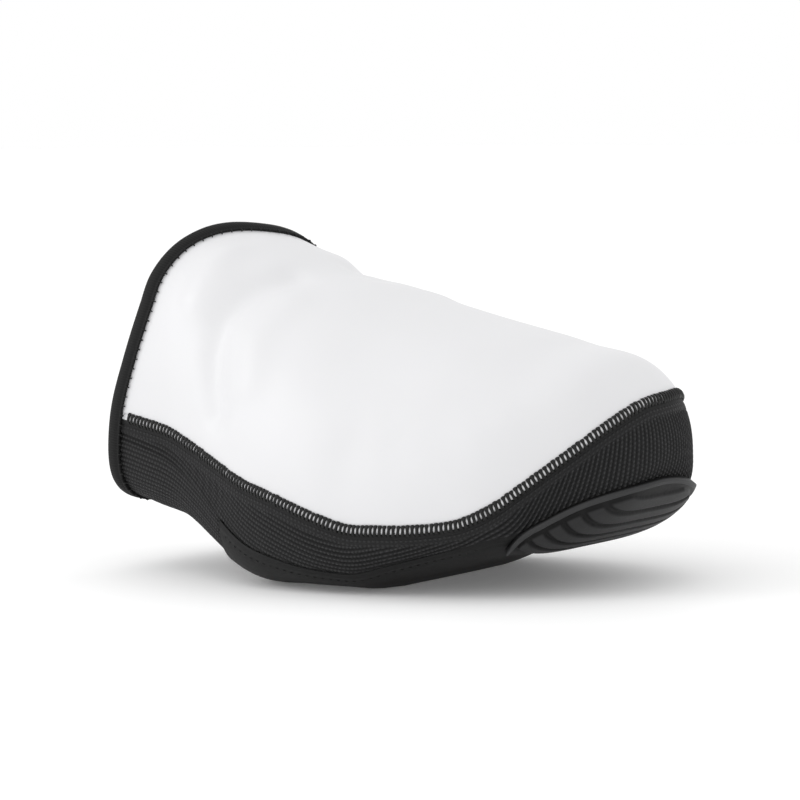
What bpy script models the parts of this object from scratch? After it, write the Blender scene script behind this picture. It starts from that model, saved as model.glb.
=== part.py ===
"""Cycling toe cover for the right foot: a stretch fabric cap pulled over the front of a shoe.

Metres, +Z up. +X points to the toe, -Y is the lateral side. The floor is z = 0.
"""

import math

import bmesh
import bpy
import numpy as np
from mathutils import Vector

PART_NAME = "cycling_toe_cover"
CUTTER_NAME = "cutters"

# Main sizes of the last, the form of the shoe that the cover is stretched over
LENGTH = 0.180
BALL_WIDTH = 0.099
COLLAR_HEIGHT = 0.104
TOE_SPRING = 0.0175
ARCH_RISE = 0.0225
TOE_ROUNDING = 0.040
TOE_TIP_HEIGHT = 0.0405
TOE_TIP_SWING = 0.004
SOLE_REST = 0.0003

# Section corners: 2 is an ellipse, higher is squarer
SOLE_CORNER = 4.2
INSTEP_CORNER = 2.2
TOE_PLAN_CORNER = 2.3
TOE_SIDE_CORNER = 2.0
TOE_SIDE_ROUNDING_SHARE = 0.8

# Sections from the toe tip to behind the collar, one row each.
# along: share of LENGTH. lateral, medial and ridge: shares of BALL_WIDTH.
# top and widest: shares of COLLAR_HEIGHT. spring: share of TOE_SPRING. arch: share of ARCH_RISE.
SECTION_COLUMNS = ("along", "lateral", "medial", "ridge", "top", "widest", "spring", "arch")
SECTIONS = (
    (0.000, -0.270, 0.345, 0.060, 0.655, 0.345, 1.00, 0.00),
    (0.083, -0.330, 0.390, 0.060, 0.655, 0.327, 0.86, 0.00),
    (0.167, -0.390, 0.430, 0.060, 0.650, 0.298, 0.71, 0.00),
    (0.250, -0.450, 0.465, 0.050, 0.683, 0.270, 0.54, 0.00),
    (0.360, -0.505, 0.485, 0.040, 0.726, 0.230, 0.25, 0.00),
    (0.425, -0.517, 0.481, 0.034, 0.754, 0.214, 0.00, 0.00),
    (0.470, -0.525, 0.475, 0.030, 0.774, 0.207, 0.00, 0.00),
    (0.555, -0.520, 0.445, 0.030, 0.817, 0.207, 0.00, 0.00),
    (0.655, -0.485, 0.395, 0.025, 0.865, 0.235, 0.00, 0.00),
    (0.720, -0.445, 0.365, 0.012, 0.919, 0.279, 0.00, 0.15),
    (0.780, -0.410, 0.345, -0.010, 0.966, 0.327, 0.00, 0.40),
    (0.835, -0.385, 0.335, -0.030, 1.002, 0.375, 0.00, 0.62),
    (0.915, -0.370, 0.325, -0.040, 1.036, 0.423, 0.00, 0.77),
    (1.030, -0.350, 0.320, -0.040, 1.055, 0.452, 0.00, 1.00),
)

# The spine is the line inside the foot that every point of the skin is reached from
SPINE_END = 0.042
SPINE_HEIGHT_SHARE = 0.5

# Collar edge: how far it lies behind the toe tip, a share of LENGTH, by its angle above the
# spine on the lateral side, counted on over the ridge at 90 and down the medial side to 270
COLLAR_ROWS = (
    (-90, 1.000),
    (-30, 0.985),
    (0, 0.952),
    (30, 0.925),
    (45, 0.915),
    (60, 0.888),
    (70, 0.860),
    (80, 0.831),
    (90, 0.806),
    (100, 0.790),
    (112, 0.784),
    (124, 0.797),
    (138, 0.842),
    (155, 0.900),
    (180, 0.948),
    (210, 0.985),
    (270, 1.000),
)

# Walls, clearances and trims
UPPER_WALL = 0.0020
BAND_WALL = 0.0016
SOLE_WALL = 0.0020
SOLE_PROUD = 0.0009
CLEARANCE = 0.0003
BINDING_WIDTH = 0.0055
BINDING_TAPE = 0.0008
SEAM_WIDTH = 0.0032
SEAM_PROUD = 0.0006
SEAM_WALL = 0.0020
SEAM_ROUNDING = (0.1, 0.8, 1.0, 0.8, 0.1)
SEAM_RISE_SHARE = 0.02

# Sole panel and the opening for the cleat
SOLE_PANEL_REAR = 0.128
SOLE_FLUSH_TURN = 0.90
SOLE_RISE_TURN = 0.25
CLEAT_OPENING_MIDDLE = 0.084
CLEAT_OPENING_LENGTH = 0.052
CLEAT_OPENING_WIDTH = 0.046
CLEAT_OPENING_CORNER = 0.016
CLEAT_CUTTER_HEIGHT = 0.030

# Toe patch of moulded rubber: a raised rim, and lugs straight across between narrow grooves.
# The first lug's place and the pitch are distances behind the toe tip.
# A lug ends under the rim over a share of the turn round the toe.
PATCH_BASE = 0.0010
PATCH_RIM_WIDTH = 0.0020
PATCH_RIM_SLOPE = 0.0003
PATCH_RIM_PROUD = 0.0008
PATCH_LUGS = 6
PATCH_FIRST_LUG = 0.0052
PATCH_LUG_PITCH = 0.0042
PATCH_GROOVE = 0.0009
PATCH_LUG_SLOPE = 0.0003
PATCH_LUG_PROUD = 0.0008
PATCH_LUG_GAP = 0.0010
PATCH_SHORTEST_LUG_END = 0.0012
PATCH_LUG_END_TURN = 0.012

# Seam between the upper and the band: its angle above the spine at places round the foot.
# -2 is the lateral collar, -1 to 1 the turn round the toe, 2 the medial collar.
SEAM_ROWS = (
    (-2.00, -25.0),
    (-1.80, -22.5),
    (-1.60, -16.0),
    (-1.40, -17.5),
    (-1.20, -21.0),
    (-1.00, -21.5),
    (-0.85, -17.5),
    (-0.70, -9.5),
    (-0.50, 2.5),
    (-0.30, 13.5),
    (-0.10, 20.5),
    (0.10, 22.0),
    (0.30, 21.5),
    (0.60, 15.0),
    (1.00, 2.0),
    (1.30, -8.0),
    (1.60, -14.0),
    (2.00, -25.0),
)

# Upper edge of the sole panel, which runs under the toe patch from -0.9 to 0.9
SOLE_EDGE_ROWS = (
    (-2.00, -37.0),
    (-1.60, -36.0),
    (-1.20, -35.5),
    (-1.05, -33.5),
    (-0.90, -31.5),
    (-0.75, -30.5),
    (-0.60, -25.0),
    (-0.30, -16.5),
    (0.00, -13.0),
    (0.30, -16.5),
    (0.60, -25.0),
    (0.75, -30.5),
    (0.90, -31.5),
    (1.05, -33.5),
    (1.20, -35.5),
    (1.60, -36.0),
    (2.00, -37.0),
)

# Outline of the toe patch: place round the toe, angle of its rim and of its rear edge
PATCH_ROWS = (
    (-0.84, -38.0, -44.0),
    (-0.76, -31.0, -54.0),
    (-0.60, -24.0, -64.0),
    (-0.30, -15.0, -69.0),
    (0.00, -11.5, -70.0),
    (0.30, -15.0, -69.0),
    (0.60, -24.0, -64.0),
    (0.76, -31.0, -54.0),
    (0.84, -38.0, -44.0),
)

# Mesh fineness: columns round the foot and rows up its side
STRAP_COLUMNS = 8
SIDE_COLUMNS = 13
TOE_COLUMNS = 18
UPPER_ROWS = 12
BAND_ROWS = 5
STRAP_ROWS = 6
SOLE_ROWS = 7
PATCH_EVEN_COLUMNS = 15
PATCH_NEAREST_EVEN = 0.036
PATCH_NEAREST_ENDS = 0.010
PATCH_REAR_SHARES = (0.0, 0.35, 0.7)
PATCH_SAMPLES = 60
CLEAT_CORNER_SEGMENTS = 6

# The fabric ends inside the fold of the collar binding
EDGE_TRIM = BINDING_TAPE + CLEARANCE

# Colour, roughness and metallic value of each material
MATERIALS = {
    "white softshell": ((0.84, 0.84, 0.86), 0.45, 0.0),
    "black ribbed fabric": ((0.012, 0.012, 0.013), 0.80, 0.0),
    "black smooth fabric": ((0.014, 0.014, 0.015), 0.65, 0.0),
    "grey rubber": ((0.045, 0.045, 0.048), 0.50, 0.0),
    "black tape": ((0.010, 0.010, 0.011), 0.75, 0.0),
    "black thread": ((0.020, 0.020, 0.021), 0.70, 0.0),
}


def smooth_curve(xs, ys, at):
    """A curve through the rows (xs, ys) with no corners, read at the places in at."""
    xs = np.asarray(xs, float)
    ys = np.asarray(ys, float)
    at = np.asarray(at, float)
    steps = np.diff(xs)
    slopes = np.diff(ys) / steps
    tangents = np.empty(len(xs))
    tangents[0] = slopes[0]
    tangents[-1] = slopes[-1]
    tangents[1:-1] = (slopes[:-1] * steps[1:] + slopes[1:] * steps[:-1]) / (xs[2:] - xs[:-2])
    row = np.clip(np.searchsorted(xs, at, side="right") - 1, 0, len(xs) - 2)
    step = steps[row]
    u = np.clip((at - xs[row]) / step, 0.0, 1.0)
    low = (2 * u**3 - 3 * u**2 + 1) * ys[row] + (u**3 - 2 * u**2 + u) * step * tangents[row]
    high = (3 * u**2 - 2 * u**3) * ys[row + 1] + (u**3 - u**2) * step * tangents[row + 1]
    return low + high


def section(behind):
    """Widths and heights of the last at each distance behind the toe tip."""
    share = np.asarray(behind, float) / LENGTH
    table = dict(zip(SECTION_COLUMNS, zip(*SECTIONS)))
    read = {name: smooth_curve(table["along"], column, share) for name, column in table.items()}
    plan = toe_closing(behind, TOE_ROUNDING, TOE_PLAN_CORNER)
    side = toe_closing(behind, TOE_ROUNDING * TOE_SIDE_ROUNDING_SHARE, TOE_SIDE_CORNER)

    def across(name):
        return TOE_TIP_SWING + (read[name] * BALL_WIDTH - TOE_TIP_SWING) * plan

    def upward(height):
        return SOLE_REST + TOE_TIP_HEIGHT + (height - TOE_TIP_HEIGHT) * side

    return {
        "lateral": across("lateral"),
        "medial": across("medial"),
        "ridge": across("ridge"),
        "top": upward(read["top"] * COLLAR_HEIGHT),
        "widest": upward(read["widest"] * COLLAR_HEIGHT),
        "bottom": upward(read["spring"] * TOE_SPRING + read["arch"] * ARCH_RISE),
    }


def toe_closing(behind, rounding, corner):
    """How far a section has opened behind the toe tip: 0 at the tip, 1 past the rounding."""
    left = np.clip(1 - np.asarray(behind, float) / rounding, 0.0, 1.0)
    return np.maximum((1 - left**corner) ** (1 / corner), 1e-4)


def outside_measure(points):
    """Below 1 inside the last, 1 on its skin, above 1 outside."""
    behind = -points[..., 0]
    size = section(np.maximum(behind, 0.0))
    middle = (size["lateral"] + size["medial"]) / 2
    y = points[..., 1]
    z = points[..., 2]
    low = z < size["widest"]
    centre = np.where(low, middle, size["ridge"])
    across = np.where(y < centre, size["lateral"] - centre, size["medial"] - centre)
    upward = np.where(low, size["bottom"] - size["widest"], size["top"] - size["widest"])
    corner = np.where(low, SOLE_CORNER, INSTEP_CORNER)
    wide = np.abs((y - centre) / across)
    high = np.abs((z - size["widest"]) / upward)
    measure = (wide**corner + high**corner) ** (1 / corner)
    return np.where(behind < 0, 2.0 + np.maximum(-behind, 0.0), measure)


def normal_at(points, step=2e-5):
    """Unit normals of the last's skin, pointing out."""
    slopes = []
    for axis in range(3):
        shift = np.zeros(3)
        shift[axis] = step
        slopes.append(outside_measure(points + shift) - outside_measure(points - shift))
    normals = np.stack(slopes, axis=-1)
    return normals / np.linalg.norm(normals, axis=-1, keepdims=True)


def collar_behind(angle, place):
    """Distance of the collar edge behind the toe tip, at an angle above the spine in degrees."""
    over = np.where(place > 0, 180.0 - angle, angle)
    return LENGTH * smooth_curve(*zip(*COLLAR_ROWS), over)


def spine_and_turn(round_place, angle, trim):
    """Where on the spine a ray starts and which way it turns, for a place round the foot.

    -2 is trim before the lateral collar, -1 to 1 the turn round the toe, 2 the medial collar.
    """
    place = np.asarray(round_place, float)
    forward = np.clip(2 - np.abs(place), 0.0, 1.0)
    collar = collar_behind(angle, place) - trim
    behind = collar + (SPINE_END - collar) * forward
    turn = np.clip(place, -1.0, 1.0) * math.pi / 2
    return behind, turn


def skin(round_place, angle, depth=0.0, trim=EDGE_TRIM):
    """Points on the last's skin, moved in by depth, at an angle above the spine in degrees."""
    round_place, angle, depth = np.broadcast_arrays(
        np.asarray(round_place, float), np.asarray(angle, float), np.asarray(depth, float)
    )
    behind, turn = spine_and_turn(round_place, angle, trim)
    size = section(behind)
    start = np.stack(
        (
            -behind,
            (size["lateral"] + size["medial"]) / 2,
            size["bottom"] + SPINE_HEIGHT_SHARE * (size["top"] - size["bottom"]),
        ),
        axis=-1,
    )
    lean = np.radians(angle)
    ray = np.stack(
        (np.cos(lean) * np.cos(turn), np.cos(lean) * np.sin(turn), np.sin(lean)), axis=-1
    )
    near = np.zeros(behind.shape)
    far = np.full(behind.shape, BALL_WIDTH)
    for _ in range(40):
        middle = (near + far) / 2
        inside = outside_measure(start + ray * middle[..., None]) < 1
        near = np.where(inside, middle, near)
        far = np.where(inside, far, middle)
    points = start + ray * ((near + far) / 2)[..., None]
    return points - normal_at(points) * depth[..., None]


def angle_beside(place, angle, distance):
    """The angle that lies a distance up along the skin from another one."""
    probe = 0.5
    below = skin(place, angle - probe)
    above = skin(place, angle + probe)
    degrees_per_metre = 2 * probe / np.linalg.norm(above - below, axis=-1)
    return angle + distance * degrees_per_metre


def edge_angle(rows, place, distance=0.0):
    """Angle of a named edge at places round the foot, moved up along the skin."""
    angle = smooth_curve(*zip(*rows), place)
    return angle_beside(place, angle, distance)


def place_of(behind):
    """Place round the foot, on the medial side, of a distance behind the toe tip."""
    collar = LENGTH * COLLAR_ROWS[0][1] - EDGE_TRIM
    return 2 - (collar - behind) / (collar - SPINE_END)


def side_places():
    """Medial places beside the sole panel, and behind it along the strap to the collar."""
    rear = SOLE_PANEL_REAR
    binding_edge = LENGTH * COLLAR_ROWS[0][1] - BINDING_WIDTH - CLEARANCE
    side = np.linspace(1.0, place_of(rear - CLEARANCE / 2), SIDE_COLUMNS)
    strap = np.linspace(place_of(rear + CLEARANCE / 2), place_of(binding_edge), STRAP_COLUMNS)
    return side, np.append(strap, 2.0)


def turn_places():
    """Places round the toe, between its lateral and its medial side."""
    return np.linspace(-1.0, 1.0, TOE_COLUMNS + 1)[1:-1]


def all_places():
    side, strap = side_places()
    half = np.concatenate((side, strap))
    return np.concatenate((-half[::-1], turn_places(), half))


def rows_between(low, high, count):
    """Angles in rows from one edge to another, one column for each place."""
    share = np.linspace(0.0, 1.0, count + 1)[:, None]
    return low + (high - low) * share


def finish_object(name, builder, material):
    """Turns a bmesh into an object of the part, shaded smooth but for its sharp edges."""
    bmesh.ops.recalc_face_normals(builder, faces=builder.faces)
    mesh = bpy.data.meshes.new(name)
    builder.to_mesh(mesh)
    builder.free()
    mesh.shade_smooth()
    mesh.set_sharp_from_angle(angle=math.radians(40))
    mesh.materials.append(material_named(material))
    made = bpy.data.objects.new(name, mesh)
    bpy.data.collections[PART_NAME].objects.link(made)
    return made


def walled_piece(name, blocks, material):
    """One solid from sheets of the last's skin, each given as places, angles and two depths."""
    builder = bmesh.new()
    inner_place = builder.verts.layers.float_vector.new("inner")
    for places, angles, outer_depth, inner_depth in blocks:
        outer = skin(places, angles, outer_depth)
        inner = skin(places, angles, inner_depth)
        outer[..., 2] = np.maximum(outer[..., 2], 0.0)
        add_sheet(builder, outer, inner, inner_place)
    bmesh.ops.remove_doubles(builder, verts=builder.verts, dist=1e-6)
    grown = bmesh.ops.extrude_face_region(builder, geom=builder.faces[:], use_keep_orig=True)
    for item in grown["geom"]:
        if isinstance(item, bmesh.types.BMVert):
            item.co = item[inner_place]
    return finish_object(name, builder, material)


def add_sheet(builder, outer, inner, inner_place):
    """Adds a grid of faces, and keeps for each corner the point of the inner skin behind it."""
    rows, columns = outer.shape[:2]
    corners = []
    for row in range(rows):
        line = []
        for column in range(columns):
            corner = builder.verts.new(outer[row, column])
            corner[inner_place] = Vector(inner[row, column])
            line.append(corner)
        corners.append(line)
    for row in range(rows - 1):
        for column in range(columns - 1):
            builder.faces.new(
                (
                    corners[row][column],
                    corners[row][column + 1],
                    corners[row + 1][column + 1],
                    corners[row + 1][column],
                )
            )


def material_named(name):
    if name in bpy.data.materials:
        return bpy.data.materials[name]
    colour, roughness, metallic = MATERIALS[name]
    material = bpy.data.materials.new(name)
    material.use_nodes = True
    shader = material.node_tree.nodes["Principled BSDF"]
    shader.inputs["Base Color"].default_value = (*colour, 1.0)
    shader.inputs["Roughness"].default_value = roughness
    shader.inputs["Metallic"].default_value = metallic
    return material


def upper_angles(places):
    low = edge_angle(SEAM_ROWS, places, CLEARANCE)
    return rows_between(low, 90.0, UPPER_ROWS)


def seam_angles(places):
    low = edge_angle(SEAM_ROWS, places, -SEAM_WIDTH)
    return rows_between(low, edge_angle(SEAM_ROWS, places), len(SEAM_ROUNDING) - 1)


def band_angles(places):
    low = edge_angle(SOLE_EDGE_ROWS, places, CLEARANCE)
    high = edge_angle(SEAM_ROWS, places, -SEAM_WIDTH - CLEARANCE)
    return rows_between(low, high, BAND_ROWS)


def strap_angles(places):
    return rows_between(-90.0, edge_angle(SOLE_EDGE_ROWS, places, CLEARANCE), STRAP_ROWS)


def make_upper():
    """The white panel over the foot, from the seam up to the ridge, open at the collar."""
    places = all_places()
    blocks = [(places, upper_angles(places), 0.0, UPPER_WALL)]
    return walled_piece("upper", blocks, "white softshell")


def make_edge_seam():
    """The raised seam that joins the upper to the band, flat where the binding covers it."""
    places = all_places()
    binding_place = side_places()[1][-2]
    open_share = np.clip((binding_place - np.abs(places)) / SEAM_RISE_SHARE, 0.0, 1.0)
    depth = -SEAM_PROUD * np.array(SEAM_ROUNDING)[:, None] * open_share
    blocks = [(places, seam_angles(places), depth, SEAM_WALL)]
    return walled_piece("edge_seam", blocks, "black thread")


def make_side_band():
    """The band round the toe and along both sides, with the strap under the arch."""
    places = all_places()
    blocks = [(places, band_angles(places), 0.0, BAND_WALL)]
    strap = side_places()[1]
    for side in (-strap[::-1], strap):
        blocks.append((side, strap_angles(side), 0.0, BAND_WALL))
    return walled_piece("side_band", blocks, "black ribbed fabric")


def make_sole_panel():
    """The panel under the ball and toe, wrapped up the side, with the opening for the cleat."""
    side = side_places()[0]
    places = np.concatenate((-side[::-1], turn_places(), side))
    high = edge_angle(SOLE_EDGE_ROWS, places)
    angles = rows_between(-90.0, high, SOLE_ROWS)
    past_patch = (np.abs(places) - SOLE_FLUSH_TURN) / SOLE_RISE_TURN
    proud = SOLE_PROUD * np.clip(past_patch, 0.0, 1.0)
    blocks = [(places, angles, -proud, SOLE_WALL - proud)]
    panel = walled_piece("sole_panel", blocks, "black smooth fabric")
    cut_with(panel, make_cleat_opening_cutter())
    return panel


def make_cleat_opening_cutter():
    """A rounded slot through the sole panel under the ball of the foot."""
    size = section(CLEAT_OPENING_MIDDLE)
    centre = (-CLEAT_OPENING_MIDDLE, (float(size["lateral"]) + float(size["medial"])) / 2, 0.0)
    builder = bmesh.new()
    bmesh.ops.create_cube(builder, size=1.0)
    height = CLEAT_CUTTER_HEIGHT
    bmesh.ops.scale(
        builder, vec=(CLEAT_OPENING_LENGTH, CLEAT_OPENING_WIDTH, height), verts=builder.verts
    )
    bmesh.ops.translate(builder, vec=centre, verts=builder.verts)
    uprights = [
        edge
        for edge in builder.edges
        if abs(edge.verts[0].co.z - edge.verts[1].co.z) > height / 2
    ]
    bmesh.ops.bevel(
        builder,
        geom=uprights,
        offset=CLEAT_OPENING_CORNER,
        segments=CLEAT_CORNER_SEGMENTS,
        profile=0.5,
        affect="EDGES",
    )
    mesh = bpy.data.meshes.new("cleat_opening_cutter")
    builder.to_mesh(mesh)
    builder.free()
    cutter = bpy.data.objects.new("cleat_opening_cutter", mesh)
    return keep_as_cutter(cutter)


def keep_as_cutter(helper):
    bpy.data.collections[CUTTER_NAME].objects.link(helper)
    helper.hide_render = True
    helper.display_type = "WIRE"
    return helper


def cut_with(piece, cutter):
    cut = piece.modifiers.new("cleat opening", "BOOLEAN")
    cut.operation = "DIFFERENCE"
    cut.object = cutter


def collar_ring():
    """Places and angles round the collar, in step with the rows of all that ends there."""
    rises = []
    for end in (-2.0, 2.0):
        place = np.array([end])
        rows = [make(place) for make in (strap_angles, band_angles, seam_angles, upper_angles)]
        rises.append(np.unique(np.round(np.concatenate(rows)[:, 0], 6)))
    lateral, medial = rises
    angles = np.concatenate((lateral[:-1], medial[:0:-1]))
    places = np.concatenate((np.full(len(lateral) - 1, -2.0), np.full(len(medial) - 1, 2.0)))
    return places, angles


def make_collar_binding():
    """Tape folded over the whole collar edge, outside, round the edge and inside."""
    places, angles = collar_ring()
    outside = CLEARANCE
    inside = UPPER_WALL + CLEARANCE
    tape = BINDING_TAPE
    profile = (
        (BINDING_WIDTH, -outside),
        (BINDING_WIDTH, -outside - 0.6 * tape),
        (BINDING_WIDTH - 0.5 * tape, -outside - tape),
        (1.5 * tape, -outside - tape),
        (0.2 * tape, -outside),
        (0.2 * tape, inside),
        (1.5 * tape, inside + tape),
        (BINDING_WIDTH - 0.5 * tape, inside + tape),
        (BINDING_WIDTH, inside + 0.6 * tape),
        (BINDING_WIDTH, inside),
        (tape, inside),
        (tape, -outside),
    )
    lines = [skin(places, angles, depth, trim) for trim, depth in profile]
    builder = bmesh.new()
    rings = [[builder.verts.new(point) for point in line] for line in lines]
    for row, ring in enumerate(rings):
        after = rings[(row + 1) % len(rings)]
        for column in range(len(ring)):
            beside = (column + 1) % len(ring)
            builder.faces.new((ring[column], ring[beside], after[beside], after[column]))
    return finish_object("collar_binding", builder, "black tape")


def patch_edges(places):
    """Angles of the toe patch's rim and of its rear edge at places round the toe."""
    along, rim, rear = zip(*PATCH_ROWS)
    return smooth_curve(along, rim, places), smooth_curve(along, rear, places)


def make_toe_patch():
    """The rubber patch under the toe: a thin base with a raised rim and lugs, in one sheet."""
    lug_ends = patch_lug_ends()
    places = patch_places(lug_ends)
    angles, proud = patch_relief(places, lug_ends)
    depth = -CLEARANCE - PATCH_BASE - proud
    return walled_piece("toe_patch", [(places, angles, depth, -CLEARANCE)], "grey rubber")


def patch_limits(places):
    """Distances behind the toe tip of the rim's inner edge and of the patch's rear edge."""
    rim, rear = patch_edges(places)
    inner_edge = angle_beside(places, rim, -PATCH_RIM_WIDTH)
    return inner_edge, -skin(places, inner_edge)[..., 0], -skin(places, rear)[..., 0]


def lug_rears():
    """Distance behind the toe tip of each lug's rear edge."""
    fronts = PATCH_FIRST_LUG + PATCH_LUG_PITCH * np.arange(PATCH_LUGS)
    return fronts + PATCH_LUG_PITCH - PATCH_GROOVE


def patch_lug_ends():
    """Places where each lug ends under the rim, on the lateral and on the medial side."""
    ends = []
    tip = PATCH_ROWS[-1][0]
    for side in (-1.0, 1.0):
        tries = side * np.linspace(0.0, tip, PATCH_SAMPLES)
        front = patch_limits(tries)[1]
        reached = lug_rears() - PATCH_LUG_GAP - PATCH_SHORTEST_LUG_END
        ends.append(np.interp(reached, front, tries))
    return ends


def patch_places(lug_ends):
    """Places of the patch's columns: a pair at each lug's end, and even ones between them."""
    tip = PATCH_ROWS[-1][0]
    lateral, medial = lug_ends
    turn = PATCH_LUG_END_TURN
    wanted = np.concatenate((lateral, lateral - turn, medial, medial + turn))
    places = [-tip, tip]
    for apart, group in (
        (PATCH_NEAREST_ENDS, wanted),
        (PATCH_NEAREST_EVEN, np.linspace(-tip, tip, PATCH_EVEN_COLUMNS)),
    ):
        for place in group:
            if np.min(np.abs(np.array(places) - place)) > apart:
                places.append(place)
    return np.sort(places)


def patch_relief(places, lug_ends):
    """Angles of the patch's rows and how far each stands proud of the base, column by column.

    The rows of a lug that has ended are squeezed into the gap below the rim.
    """
    inner_edge, front, rear = patch_limits(places)
    rim, rear_angle = patch_edges(places)
    lateral, medial = lug_ends
    slope = PATCH_LUG_SLOPE
    lug_rows = PATCH_LUG_PITCH - PATCH_GROOVE - np.array((3 * slope, 2 * slope, slope, 0.0))
    lug_rows[:2] = (0.0, slope)
    count = 4 * PATCH_LUGS
    distances = []
    heights = []
    for lug in range(PATCH_LUGS):
        runs = (places >= lateral[lug]) & (places <= medial[lug])
        runs &= PATCH_FIRST_LUG + PATCH_LUG_PITCH * (lug + 1) < rear
        for row in range(4):
            number = 4 * lug + row
            wanted = PATCH_FIRST_LUG + PATCH_LUG_PITCH * lug + lug_rows[row]
            squeezed = front + PATCH_LUG_GAP * (number + 1) / (count + 1)
            clipped = front + PATCH_LUG_GAP + row * slope
            least = np.where(runs, clipped, squeezed)
            most = rear - PATCH_LUG_GAP * (count - number) / (count + 1)
            distances.append(np.minimum(np.maximum(wanted, least), most))
            heights.append(PATCH_LUG_PROUD * runs * (row in (1, 2)))
    samples = rows_between(rear_angle, inner_edge, PATCH_SAMPLES)
    behind = -skin(places, samples)[..., 0]
    lug_angles = np.empty((count, len(places)))
    for column in range(len(places)):
        wanted = [line[column] for line in distances]
        lug_angles[:, column] = np.interp(wanted, behind[::-1, column], samples[::-1, column])
    rim_edges = [
        angle_beside(places, inner_edge, PATCH_RIM_SLOPE),
        angle_beside(places, rim, -PATCH_RIM_SLOPE),
    ]
    rear_rows = [rear_angle + (lug_angles[-1] - rear_angle) * s for s in PATCH_REAR_SHARES]
    angles = np.stack([*rear_rows, *lug_angles[::-1], inner_edge, *rim_edges, rim])
    none = np.zeros(len(places))
    rim_proud = PATCH_RIM_PROUD * (np.abs(places) < places[-1])
    flat_rows = [none] * len(PATCH_REAR_SHARES)
    proud = np.stack([*flat_rows, *heights[::-1], none, rim_proud, rim_proud, none])
    return angles, proud


def centre_on_floor(pieces):
    """Moves the whole part so that its box is centred over the origin."""
    corners = []
    bpy.context.view_layer.update()
    for piece in pieces:
        corners.extend(piece.matrix_world @ Vector(corner) for corner in piece.bound_box)
    low = np.min(corners, axis=0)
    high = np.max(corners, axis=0)
    shift = Vector((-(low[0] + high[0]) / 2, -(low[1] + high[1]) / 2, 0.0))
    for made in bpy.data.objects:
        made.location += shift


def main():
    for old in list(bpy.data.objects):
        bpy.data.objects.remove(old, do_unlink=True)
    for name in (PART_NAME, CUTTER_NAME):
        bpy.context.scene.collection.children.link(bpy.data.collections.new(name))
    pieces = [
        make_upper(),
        make_edge_seam(),
        make_side_band(),
        make_sole_panel(),
        make_toe_patch(),
        make_collar_binding(),
    ]
    centre_on_floor(pieces)


main()
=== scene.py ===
"""Looks of a cycling toe cover for the right foot: a white stretch cap over a black knit band.

Metres. +X points to the toe, -Y is the lateral side, the floor is z = 0.
"""

import math

import bpy
import numpy as np
from mathutils import Matrix, Vector


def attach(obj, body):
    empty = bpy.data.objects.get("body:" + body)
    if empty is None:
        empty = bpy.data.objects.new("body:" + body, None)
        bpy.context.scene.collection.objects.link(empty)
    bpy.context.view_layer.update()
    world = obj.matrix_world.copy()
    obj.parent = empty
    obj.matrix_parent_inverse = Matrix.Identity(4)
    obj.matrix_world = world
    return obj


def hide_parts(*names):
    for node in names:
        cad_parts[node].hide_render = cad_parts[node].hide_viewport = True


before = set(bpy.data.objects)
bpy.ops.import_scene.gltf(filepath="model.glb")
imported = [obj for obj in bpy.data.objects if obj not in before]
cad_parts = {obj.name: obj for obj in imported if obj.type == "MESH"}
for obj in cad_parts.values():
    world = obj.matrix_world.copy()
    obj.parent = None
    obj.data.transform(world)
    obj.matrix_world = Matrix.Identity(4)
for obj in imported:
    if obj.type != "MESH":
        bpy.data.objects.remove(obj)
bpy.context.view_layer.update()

# Sizes of the last, the form that the cover is stretched over, as in the part's source
LENGTH = 0.180
BALL_WIDTH = 0.099
COLLAR_HEIGHT = 0.104
TOE_SPRING = 0.0175
ARCH_RISE = 0.0225
TOE_ROUNDING = 0.040
TOE_TIP_HEIGHT = 0.0405
TOE_TIP_SWING = 0.004
SOLE_REST = 0.0003
SOLE_CORNER = 4.2
INSTEP_CORNER = 2.2
TOE_PLAN_CORNER = 2.3
TOE_SIDE_CORNER = 2.0
TOE_SIDE_ROUNDING_SHARE = 0.8
SPINE_END = 0.042
SPINE_HEIGHT_SHARE = 0.5

# From the last's own place, with its toe tip at x = 0, to the middle of the part's box
LAST_SHIFT = Vector((0.0900, 0.0023, 0.0))

# Sections from the toe tip to behind the collar, in shares of the sizes above
SECTION_COLUMNS = ("along", "lateral", "medial", "ridge", "top", "widest", "spring", "arch")
SECTIONS = (
    (0.000, -0.270, 0.345, 0.060, 0.655, 0.345, 1.00, 0.00),
    (0.083, -0.330, 0.390, 0.060, 0.655, 0.327, 0.86, 0.00),
    (0.167, -0.390, 0.430, 0.060, 0.650, 0.298, 0.71, 0.00),
    (0.250, -0.450, 0.465, 0.050, 0.683, 0.270, 0.54, 0.00),
    (0.360, -0.505, 0.485, 0.040, 0.726, 0.230, 0.25, 0.00),
    (0.425, -0.517, 0.481, 0.034, 0.754, 0.214, 0.00, 0.00),
    (0.470, -0.525, 0.475, 0.030, 0.774, 0.207, 0.00, 0.00),
    (0.555, -0.520, 0.445, 0.030, 0.817, 0.207, 0.00, 0.00),
    (0.655, -0.485, 0.395, 0.025, 0.865, 0.235, 0.00, 0.00),
    (0.720, -0.445, 0.365, 0.012, 0.919, 0.279, 0.00, 0.15),
    (0.780, -0.410, 0.345, -0.010, 0.966, 0.327, 0.00, 0.40),
    (0.835, -0.385, 0.335, -0.030, 1.002, 0.375, 0.00, 0.62),
    (0.915, -0.370, 0.325, -0.040, 1.036, 0.423, 0.00, 0.77),
    (1.030, -0.350, 0.320, -0.040, 1.055, 0.452, 0.00, 1.00),
)

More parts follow.
